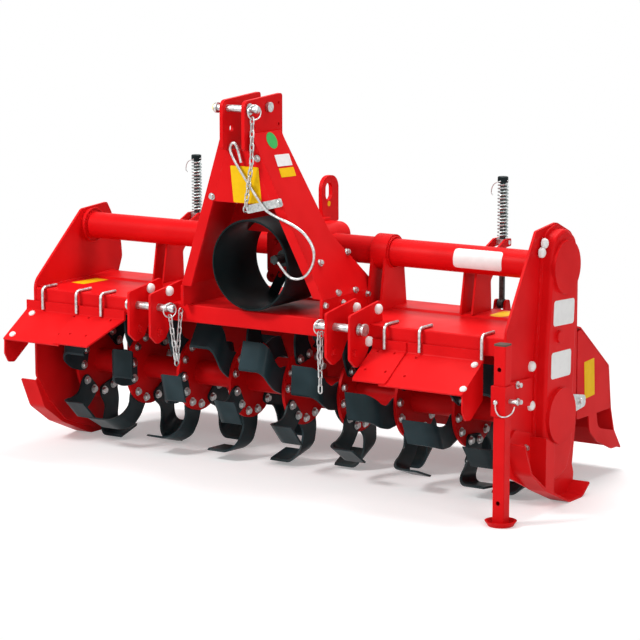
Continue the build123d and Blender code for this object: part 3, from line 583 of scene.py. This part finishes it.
def pins():
    """Rings, washers and ends of the hitch pins, the brass nut of the top one, and the stand pin's wire."""
    large = spots((-331, -402, 311), (331, -402, 311), (76, -438, 1062))
    fitted("pin_rings", ring(0.026, 0.0028, 40), large, (0.9, -0.43, 0), close_rows=True)
    small = spots((-331, -361, 110), (-331, -334, 297), (331, -402, 164), (24, -421, 714))
    fitted("chain_rings", ring(0.012, 0.0028, 24), small, RIGHT, close_rows=True)
    washer = turned([(0.0128, 0, 0), (0.021, 0, 0), (0.021, 0.003, 0), (0.0128, 0.003, 0)], 28)
    fitted("pin_washers", washer, spots((55, *TOP_PIN), (494, *LOWER_PIN), (-494, *LOWER_PIN)), [RIGHT, RIGHT, LEFT])
    ends = spots((84, *TOP_PIN), (-321, *LOWER_PIN), (321, *LOWER_PIN))
    fitted("pin_ends", turned(dome(0.0145, 0.012), 20), ends, [RIGHT, RIGHT, LEFT])
    bolts("top_pin_nut", spots((-88, *TOP_PIN)), LEFT, 0.024, 0.010, BRASS)
    wire = spots((1120, -405, 112), (1118, -412, 92), (1104, -432, 78), (1080, -441, 80), (1065, -441, 102),
                 (1063, -437, 124))
    surface("stand_pin_wire", carried(rounded(wire), 0.0024, 8), ZINC)
    fitted("stand_pin_ball", turned(dome(0.009, 0.010), 16), spots((1063, -433, 126)), FRONT)


def spring_clips():
    """A wire clip on each spring rod, just under its cap, that hangs loose on one side."""
    for name, sign in SIDES:
        x = sign * ROD_X
        wire = spots((x + 20, 268, 792), (x, 246, 790), (x - 22, 246, 783), (x - 36, 250, 766), (x - 40, 252, 744),
                     (x - 33, 253, 738))
        surface(f"spring_clip_{name}", carried(rounded(wire), 0.0018, 8), ZINC, f"rod_{name}")


COIL_RADIUS, COIL_WIRE, COIL_TURNS, COIL_PITCH = 17.5, 3.5, 6, 14
COIL_LOW, COIL_HIGH = 464.5, 552


def lower_springs():
    """Lower coil spring of each rod, fixed on its trunnion in place of the CAD spring, which is hidden.

    At turn a of the coil and angle s round its wire, the radius from the rod is 17.5 + 3.5 cos s and the height
    is 464.5 + 14 a + 3.5 sin s millimetres; the wire's ends are drawn in to a point.
    """
    a = np.linspace(0, COIL_TURNS, COIL_TURNS * 28 + 1)[:, None]
    a = np.concatenate([a[:1], a, a[-1:]])
    wire = np.full(len(a), COIL_WIRE)[:, None]
    wire[[0, -1]] = 0
    s = np.arange(10) * 2 * np.pi / 10
    radius = COIL_RADIUS + wire * np.cos(s)
    for name, sign in SIDES:
        x = sign * ROD_X
        grid = spot(x + radius * np.cos(2 * np.pi * a), ROD_Y + radius * np.sin(2 * np.pi * a),
                    COIL_LOW + COIL_PITCH * a + wire * np.sin(s))
        coil = surface(f"coil_lower_{name}", grid, SPRING_ZINC, f"trunnion_{name}")
        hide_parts(f"spring_lower_{name}")
        tuple(spot(x, ROD_Y, COIL_HIGH))
        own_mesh(coil)


def spring_caps():
    """Black cap over the top of each spring rod."""
    cup = turned([(0, -0.001, 0), (0.0196, -0.001, 0), (0.0196, 0.019, 0), (0.017, 0.0215, 0), (0, 0.022, 0)], 28)
    for name, sign in SIDES:
        fitted(f"spring_cap_{name}", cup, spots((sign * ROD_X, ROD_Y, ROD_CAP_Z)), UP, DRUM, f"rod_{name}")


# Each chain's strands: start, end, and 1 where the first link stands turned by a quarter
CHAINS = {
    "left": [((-331, -401, 293), (-331, -365, 120), 0), ((-331, -336, 289), (-331, -358, 120), 0)],
    "right": [((331, -394, 292), (331, -397, 172), 0), ((331, -411, 294), (331, -408, 172), 1),
              ((331, -402, 154), (331, -402, 74), 0)],
    "top": [((72, -446, 1044), (72, -451, 880), 0), ((71, -450, 880), (25, -421, 724), 1)],
}


def chains():
    """Chains of the lower pins and of the top pin; each strand hangs between two rings."""
    for name, strands in CHAINS.items():
        links = [strand(spot(*start), spot(*end), quarter) for start, end, quarter in strands]
        surface(f"chain_{name}", np.concatenate(links), ZINC, close_rows=True)


# Corners of the rest hook's rod on the mast's front plane: across and up
REST_HOOK = [(18, 489), (7, 551), (-13, 564), (-31, 529), (28, 431), (92, 336), (115, 309), (247, 264), (296, 205),
             (299, 150), (264, 92), (219, 70), (177, 77), (139, 129)]


def rest_hook():
    """Round rod that carries the drive shaft when it is off the tractor, on its strip across the mast."""
    rod = rounded(on_mast(*np.transpose(REST_HOOK), 11.6), 4)
    surface("rest_hook", carried(rod, 0.005, 12), ZINC)
    fitted("rest_hook_strip", plaque(0.160, 0.030, 0.006, 0.006), on_mast([95], [332], 0.2), MAST_OUT,
           turns=np.radians(13.7), smooth=25)
    bolts("rest_hook_bolts", on_mast([158], [346], 6.2), MAST_OUT, 0.016, 0.008)


FILM_THICK = 0.0005


def film(name, width, high, corner, place, axis, turn, material, body="frame"):
    """A blank film with round corners, its sizes in millimetres, lying on a face."""
    sheet = plaque(width / 1000, high / 1000, corner / 1000, FILM_THICK)
    fitted(name, sheet, place, axis, material, body, turn, smooth=25)


def films():
    """Blank films: yellow signs, white labels and a green disc."""
    film("mast_sign", 122, 136, 5, on_mast([22], [404], 0.2), MAST_OUT, 0.0, YELLOW)
    film("maker_label", 92, 44, 3, spots((108.5, -303, 883.5)), CHEEK_OUT, -0.03, FILM)
    film("capacity_label", 92, 34, 3, spots((126, -303, 841)), CHEEK_OUT, -0.03, YELLOW)
    fitted("green_disc", turned(disc(0.031, FILM_THICK), 40), spots((78, -331, 955)), CHEEK_OUT, GREEN)
    fitted("eye_spot", turned(disc(0.010, FILM_THICK), 24), spots((8.2, 152, 672)), RIGHT, YELLOW)
    film("cover_label_upper", 152, 90, 12, spots((COVER_X, 8, 377)), RIGHT, -0.05, FILM)
    film("cover_label_lower", 146, 94, 12, spots((COVER_X, -8, 194)), RIGHT, -0.03, FILM)
    film("tail_sign", 78, 138, 4, spots((1022.2, 336, 80)), RIGHT, 0.06, YELLOW, "tail")
    film("deck_sign_left", 140, 66, 4, spots((-955, -80, DECK_LEFT_Z)), UP, -0.10, YELLOW)
    film("deck_sign_right", 130, 66, 30, spots((800, 90, DECK_RIGHT_Z)), UP, 0.0, YELLOW)


def tube_label():
    """White label bent round the cross tube.

    At s millimetres round the tube from its middle, the half length is long - corner (1 - sqrt(1 - q q)),
    where q runs from 0 to 1 over the corner.
    """
    middle, long, high, corner, radius = 752, 99.0, 38.0, 14.0, 51.3
    s = np.linspace(-high, high, 41)[:, None]
    into = np.clip((np.abs(s) - (high - corner)) / corner, 0, 1)
    half = long - corner * (1 - np.sqrt(1 - into ** 2))
    x = middle + half * np.linspace(-1, 1, 5)
    angle = np.radians(10) + s / radius + 0 * x
    grid = spot(x, TUBE_Y - radius * np.cos(angle), TUBE_Z + radius * np.sin(angle))
    surface("tube_label", grid, FILM, close_columns=False)


def welds():
    """Beads round the tube's collars, clamps and ends, along the hitch cheeks' feet and along the left plate."""
    t = np.linspace(0, 2 * np.pi, 60)
    for name, x, radius in (("collar", 1013, 65), ("clamp", 380, 56), ("tube", 1014, 52)):
        for side, sign in SIDES:
            circle = spot(sign * x + 0 * t, TUBE_Y + radius * np.cos(t), TUBE_Z + radius * np.sin(t))
            surface(f"weld_{name}_{side}", weld(circle, 0.0035, 46), PAINT)
    for x, outwards in ((-479, 1), (-391, -1), (391, 1), (479, -1)):
        line = spots((x + outwards, -318, 326), (x + outwards, -240, 326))
        surface(f"weld_hitch_{x}", weld(line, 0.004, 14), PAINT)
    edge = spots((-1029, -300, 326), (-1029, 0, 326), (-1029, 176, 333))
    surface("weld_plate_left", weld(edge, 0.004, 60), PAINT)


def mast_brace():
    """Trapezoid sheet between the mast's cheeks, behind the drum; half its width is 297 - 0.42 (z - 400)."""
    along = np.array([-1, -1, -0.5, 0, 0.5, 1, 1])[:, None]
    full = np.array([0, 1, 1, 1, 1, 1, 0])[:, None]
    z = 666 + full * np.array([-66, 66, 66, -66])
    y = -188 + full * np.array([-4, -4, 4, 4])
    x = along * (297 - 0.4205 * (z - 400))
    surface("mast_brace", spot(x, y, z), PAINT, smooth=25)


def stand_cap():
    """Plastic cap on the stand's tube."""
    fitted("stand_cap", plaque(0.0466, 0.0466, 0.006, 0.006), spots((1072, -405, 319)), UP, CAP_BROWN, "stand",
           smooth=25)


tine_bolts()
caps()
frame_bolts()
pins()
spring_clips()
lower_springs()
spring_caps()
chains()
rest_hook()
films()
tube_label()
welds()
mast_brace()
stand_cap()


# Light, floor and camera
WHITE = (1, 1, 1, 1)


def seen_or_mirrored(tree):
    """1 for rays from the camera, off metal and through glass, which all see the white background."""
    path = node(tree, "ShaderNodeLightPath").outputs
    return math(tree, "MAXIMUM", path["Is Camera Ray"],
                math(tree, "MAXIMUM", path["Is Glossy Ray"], path["Is Transmission Ray"]))


def studio():
    """A white background that lights the object only dimly."""
    world = bpy.data.worlds.new("studio")
    bpy.context.scene.world = world
    world.use_nodes = True
    tree = world.node_tree
    tree.nodes.clear()
    dim = node(tree, "ShaderNodeBackground", {"Color": WHITE, "Strength": 0.30})
    white = node(tree, "ShaderNodeBackground", {"Color": WHITE, "Strength": 1.0})
    both = node(tree, "ShaderNodeMixShader", {0: seen_or_mirrored(tree), 1: dim.outputs[0], 2: white.outputs[0]})
    node(tree, "ShaderNodeOutputWorld", {"Surface": both.outputs[0]})


def lamp(name, place, target, size, power):
    """A soft square lamp at a place, turned to its target."""
    data = bpy.data.lights.new(name, "AREA")
    data.energy = power
    data.size = size
    lamp_object = bpy.data.objects.new(name, data)
    bpy.context.scene.collection.objects.link(lamp_object)
    lamp_object.location = place
    lamp_object.rotation_euler = (Vector(target) - Vector(place)).to_track_quat("-Z", "Y").to_euler()


def floor_material():
    """Pale floor, lifted to white where the camera sees it, but for the shadow; all white farther out."""
    material = bpy.data.materials.new("pale_floor")
    material.use_nodes = True
    tree = material.node_tree
    tree.nodes.clear()
    seen = seen_or_mirrored(tree)
    place = object_place(tree)
    far = node(tree, "ShaderNodeVectorMath", {0: place}, operation="LENGTH").outputs["Value"]
    grain = node(tree, "ShaderNodeTexNoise", {"Vector": place, "Scale": 3.0, "Detail": 4.0}).outputs["Fac"]
    tone = mix(tree, grain, (0.80, 0.80, 0.80, 1), (0.84, 0.84, 0.84, 1))
    matt = node(tree, "ShaderNodeBsdfDiffuse", {"Color": tone})
    lift = node(tree, "ShaderNodeEmission", {"Color": WHITE, "Strength": math(tree, "MULTIPLY", seen, 0.30)})
    near = node(tree, "ShaderNodeAddShader", {0: matt.outputs[0], 1: lift.outputs[0]})
    white = node(tree, "ShaderNodeEmission", {"Color": WHITE, "Strength": 1.0})
    blend = math(tree, "MULTIPLY", seen, remap(tree, far, 1.3, 2.6))
    both = node(tree, "ShaderNodeMixShader", {0: blend, 1: near.outputs[0], 2: white.outputs[0]})
    node(tree, "ShaderNodeOutputMaterial", {"Surface": both.outputs[0]})
    return material


def floor():
    """A flat square sheet of 40 m, half a millimetre under the object."""
    x, y = np.meshgrid(np.linspace(-20, 20, 5), np.linspace(-20, 20, 5), indexing="ij")
    grid = np.stack([x, y, np.full(x.shape, -0.0005)], -1)
    faces = quads(5, 5, close_columns=False)[:, ::-1]
    mesh = bpy.data.meshes.new("floor")
    mesh.from_pydata(grid.reshape(-1, 3).tolist(), [], faces.tolist())
    mesh.materials.append(floor_material())
    sheet = bpy.data.objects.new("floor", mesh)
    bpy.context.scene.collection.objects.link(sheet)


# The photograph was taken from the front and the gear side, a little from above
PICTURE = 640
AZIMUTH = np.radians(33.508)
ELEVATION = np.radians(11.124)
DISTANCE = 9.788
FOCAL_PIXELS = 2602.2
AXIS_PIXEL = (304.98, 385.15)
SENSOR = 36


def camera():
    """Camera at the photograph's place, turned to the middle of the picture, so that it needs no shift."""
    back = np.array([np.sin(AZIMUTH) * np.cos(ELEVATION), -np.cos(AZIMUTH) * np.cos(ELEVATION), np.sin(ELEVATION)])
    right = np.array([np.cos(AZIMUTH), np.sin(AZIMUTH), 0])
    up = np.cross(back, right)
    middle = PICTURE / 2
    ahead = -back + right * (middle - AXIS_PIXEL[0]) / FOCAL_PIXELS + up * (AXIS_PIXEL[1] - middle) / FOCAL_PIXELS
    data = bpy.data.cameras.new("photo_camera")
    data.sensor_width = SENSOR
    data.lens = FOCAL_PIXELS * SENSOR / PICTURE
    data.clip_end = 100
    view = bpy.data.objects.new("photo_camera", data)
    bpy.context.scene.collection.objects.link(view)
    view.location = Vector(back * DISTANCE) + Vector((0, ROTOR_Y, ROTOR_Z))
    view.rotation_euler = Vector(ahead).to_track_quat("-Z", "Y").to_euler()
    bpy.context.scene.camera = view


studio()
floor()
lamp("key", (-2.6, -4.6, 4.6), (0, 0, 0.6), 1.4, 290)
lamp("fill", (4.6, -2.6, 2.6), (0.4, 0, 0.5), 2.5, 85)
lamp("top", (0.3, 0.8, 4.6), (0, 0, 0.4), 2.4, 150)
camera()
bpy.context.scene.view_settings.view_transform = "Standard"
